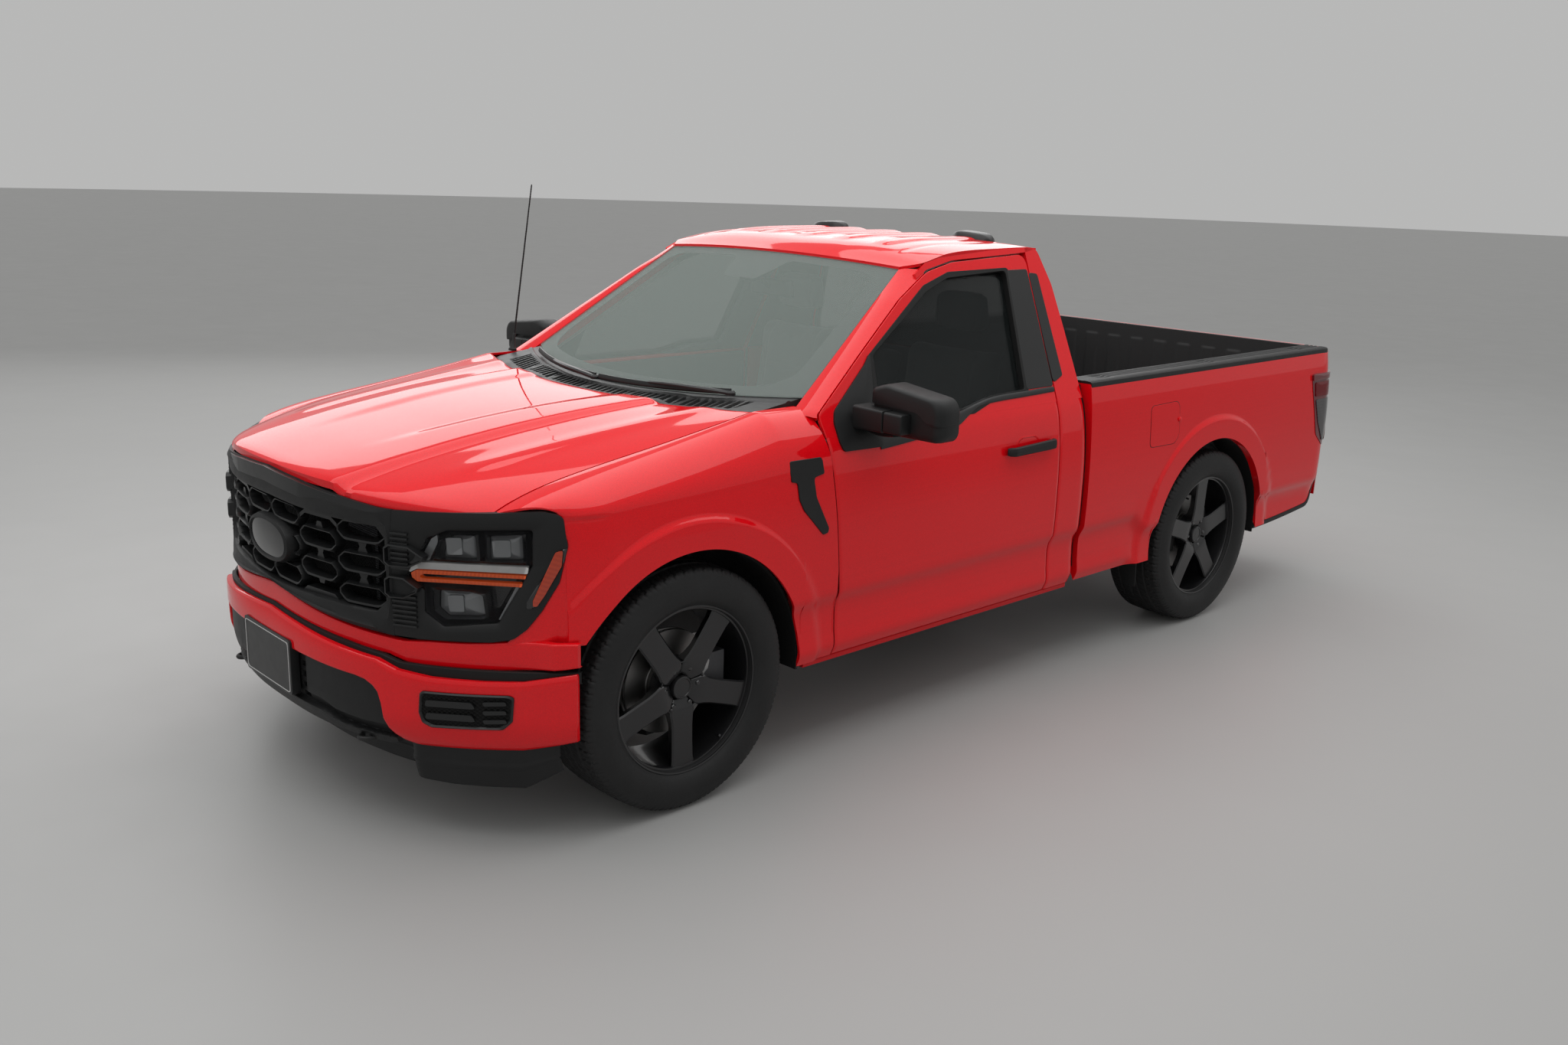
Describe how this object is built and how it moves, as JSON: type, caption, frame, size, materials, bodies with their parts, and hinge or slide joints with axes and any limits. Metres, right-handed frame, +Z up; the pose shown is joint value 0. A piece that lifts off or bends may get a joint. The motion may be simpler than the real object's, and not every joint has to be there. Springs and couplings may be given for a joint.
{
  "type": "pickup truck",
  "caption": "Full-size single-cab pickup truck with a short open bed, opening doors, hood and tailgate, steered front wheels and rolling tyres.",
  "frame": {"origin": "on the ground below the middle of the overall box: the tyres stand on z = 0", "axes": "+Z up, -Y is the truck's front and +Y its tail, +X is the truck's left (driver's) side"},
  "size_m": [2.608, 5.311, 1.9583],
  "materials": {
    "body_red": "bright red metallic, clear coated",
    "frame_black": "satin black",
    "engine_iron": "plain casting",
    "exhaust_steel": "dull",
    "black_plastic": "fine grain",
    "grey_plastic": "fine grain",
    "seat_cloth": "grey woven cloth",
    "glass": "tinted",
    "lamp_clear": "smoked lens over black bezel",
    "lamp_red": "smoked red lens",
    "liner": "sprayed texture",
    "wheel_black": "satin black",
    "tyre": "rubber",
    "radiator_alu": "finned"
  },
  "bodies": {
    "truck": {"frame": "frame_black", "engine": "engine_iron", "exhaust": "exhaust_steel", "fuel_tank": "black_plastic", "control_arms": "frame_black", "rear_axle": "frame_black", "leaf_springs": "frame_black", "spare_wheel": "tyre", "cab_floor": "body_red", "cab_sides": "body_red", "door_hinges": "body_red", "cab_back": "body_red", "roof": "body_red", "fixed_glass": "glass", "dashboard": "grey_plastic", "seat_cushion": "seat_cloth", "seat_back": "seat_cloth", "fenders": "body_red", "wheel_liners": "black_plastic", "radiator": "radiator_alu", "grille": "black_plastic", "headlamps": "lamp_clear", "front_bumper": "body_red", "air_dam": "black_plastic", "cowl": "black_plastic", "wipers": "black_plastic", "antenna": "black_plastic", "bed_floor": "liner", "bed_front": "liner", "bed_sides": "body_red", "rail_caps": "black_plastic", "tail_lamps": "lamp_red", "rear_bumper": "body_red"},
    "hood": {"hood": "body_red"},
    "tailgate": {"tailgate": "body_red"},
    "door_left": {"door_left": "body_red", "door_glass_left": "glass", "mirror_left": "black_plastic"},
    "door_right": {"door_right": "body_red", "door_glass_right": "glass", "mirror_right": "black_plastic"},
    "steering_wheel": {"steering_wheel": "black_plastic"},
    "knuckle_left": {"knuckle_left": "engine_iron"},
    "knuckle_right": {"knuckle_right": "engine_iron"},
    "wheel_front_left": {"wheel_front_left": "wheel_black", "tyre_front_left": "tyre"},
    "wheel_front_right": {"wheel_front_right": "wheel_black", "tyre_front_right": "tyre"},
    "wheel_rear_left": {"wheel_rear_left": "wheel_black", "tyre_rear_left": "tyre"},
    "wheel_rear_right": {"wheel_rear_right": "wheel_black", "tyre_rear_right": "tyre"}
  },
  "joints": [
    {"name": "knuckle_left_steer", "type": "hinge", "parent": "truck", "child": "knuckle_left", "pos_m": [0.7715, -1.7045, 0.4075], "axis": [0, 0, 1], "range_deg": [-32, 32]},
    {"name": "knuckle_right_steer", "type": "hinge", "parent": "truck", "child": "knuckle_right", "pos_m": [-0.7715, -1.7045, 0.4075], "axis": [0, 0, 1], "range_deg": [-32, 32]},
    {"name": "wheel_front_left_spin", "type": "hinge", "parent": "knuckle_left", "child": "wheel_front_left", "pos_m": [0.8595, -1.7045, 0.4075], "axis": [1, 0, 0], "continuous": true},
    {"name": "wheel_front_right_spin", "type": "hinge", "parent": "knuckle_right", "child": "wheel_front_right", "pos_m": [-0.8595, -1.7045, 0.4075], "axis": [1, 0, 0], "continuous": true},
    {"name": "wheel_rear_left_spin", "type": "hinge", "parent": "truck", "child": "wheel_rear_left", "pos_m": [0.8595, 1.4145, 0.4075], "axis": [1, 0, 0], "continuous": true},
    {"name": "wheel_rear_right_spin", "type": "hinge", "parent": "truck", "child": "wheel_rear_right", "pos_m": [-0.8595, 1.4145, 0.4075], "axis": [1, 0, 0], "continuous": true},
    {"name": "steering_wheel_turn", "type": "hinge", "parent": "truck", "child": "steering_wheel", "pos_m": [0.385, -0.7875, 1.035], "axis": [0, 0.8829, 0.4695], "range_deg": [-540, 540]},
    {"name": "door_left_hinge", "type": "hinge", "parent": "truck", "child": "door_left", "pos_m": [0.97, -1.0345, 0.765], "axis": [0, 0, -1], "range_deg": [0, 65]},
    {"name": "door_right_hinge", "type": "hinge", "parent": "truck", "child": "door_right", "pos_m": [-0.97, -1.0345, 0.765], "axis": [0, 0, 1], "range_deg": [0, 65]},
    {"name": "hood_hinge", "type": "hinge", "parent": "truck", "child": "hood", "pos_m": [0, -1.33033, 1.23096], "axis": [-1, 0, 0], "range_deg": [0, 50]},
    {"name": "tailgate_hinge", "type": "hinge", "parent": "truck", "child": "tailgate", "pos_m": [0, 2.5275, 0.662], "axis": [-1, 0, 0], "range_deg": [0, 90]}
  ],
  "couplings": [
    {"joint": "knuckle_right_steer", "follows": "knuckle_left_steer", "ratio": 1}
  ]
}
